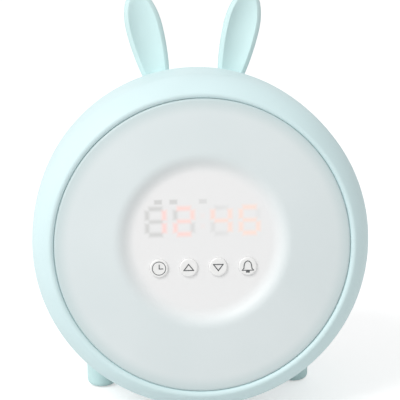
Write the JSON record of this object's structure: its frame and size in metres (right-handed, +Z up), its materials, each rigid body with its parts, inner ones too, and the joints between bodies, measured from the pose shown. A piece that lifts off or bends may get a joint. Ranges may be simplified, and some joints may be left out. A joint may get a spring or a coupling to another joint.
{
  "type": "alarm clock",
  "caption": "Round mint bedside alarm clock and night light with rabbit ears, short feet, a frosted glowing front panel and touch-size keys under a lit time display.",
  "frame": {"origin": "on the table, under the middle of the clock's bounding box", "axes": "+Z up, +X to the right of somebody facing the display, +Y from the display to the back"},
  "size_m": [0.173, 0.1198, 0.2119],
  "materials": {
    "basket": "satin",
    "black_plastic": "matt",
    "board": "solder mask",
    "casing": "smooth soft-touch matt",
    "cell_sleeve": "shrink sleeve",
    "diffuser": "frosted, light passes through",
    "display": "smoked",
    "ears": "smooth soft-touch matt",
    "feet": "smooth matt",
    "keys": "satin",
    "led": "clear resin",
    "magnet": "sintered",
    "pads": "matt",
    "paper": "pressed pulp",
    "rear_keys": "satin",
    "red_lead": "insulated wire",
    "screw_steel": "zinc plated",
    "socket": "tinned",
    "tray": "white",
    "white_board": "white solder mask",
    "white_lead": "insulated wire"
  },
  "bodies": {
    "clock": {"front_shell": "casing", "rear_shell": "casing", "ear_left": "ears", "ear_right": "ears", "foot_front_left": "feet", "foot_front_right": "feet", "foot_rear_left": "feet", "foot_rear_right": "feet", "foot_pads": "pads", "diffuser_panel": "diffuser", "case_screws": "screw_steel", "ear_screws": "screw_steel", "foot_screws": "screw_steel", "face_board_screws": "screw_steel", "lamp_board_screws": "screw_steel", "panel_screws": "screw_steel", "cradle_screws": "screw_steel", "speaker_screws": "screw_steel", "main_board_screws": "screw_steel", "key_switches": "black_plastic", "rear_switches": "black_plastic", "display_module": "display", "display_frame": "black_plastic", "face_board": "board", "reflector_tray": "tray", "lamp_board": "white_board", "lamp_leds": "led", "battery_cradle": "black_plastic", "battery_cell": "cell_sleeve", "battery_strap": "black_plastic", "speaker_basket": "basket", "speaker_magnet": "magnet", "speaker_cone": "paper", "main_board": "board", "main_chips": "black_plastic", "usb_socket": "socket", "battery_leads": "red_lead", "speaker_leads": "white_lead", "face_leads": "white_lead"},
    "clock_key": {"clock_button": "keys"},
    "up_key": {"up_button": "keys"},
    "down_key": {"down_button": "keys"},
    "alarm_key": {"alarm_button": "keys"},
    "light_key": {"light_button": "rear_keys"},
    "sound_key": {"sound_button": "rear_keys"}
  },
  "joints": [
    {"name": "clock_button_press", "type": "slide", "parent": "clock", "child": "clock_key", "axis": [0, 0.9945, -0.1045], "range_m": [0, 0.0008], "stiffness_N_per_m": 1500, "springref_m": -0.0001},
    {"name": "up_button_press", "type": "slide", "parent": "clock", "child": "up_key", "axis": [0, 0.9945, -0.1045], "range_m": [0, 0.0008], "stiffness_N_per_m": 1500, "springref_m": -0.0001},
    {"name": "down_button_press", "type": "slide", "parent": "clock", "child": "down_key", "axis": [0, 0.9945, -0.1045], "range_m": [0, 0.0008], "stiffness_N_per_m": 1500, "springref_m": -0.0001},
    {"name": "alarm_button_press", "type": "slide", "parent": "clock", "child": "alarm_key", "axis": [0, 0.9945, -0.1045], "range_m": [0, 0.0008], "stiffness_N_per_m": 1500, "springref_m": -0.0001},
    {"name": "light_button_press", "type": "slide", "parent": "clock", "child": "light_key", "axis": [0, -0.9945, 0.1045], "range_m": [0, 0.0008], "stiffness_N_per_m": 1500, "springref_m": -0.0001},
    {"name": "sound_button_press", "type": "slide", "parent": "clock", "child": "sound_key", "axis": [0, -0.9945, 0.1045], "range_m": [0, 0.0008], "stiffness_N_per_m": 1500, "springref_m": -0.0001}
  ]
}
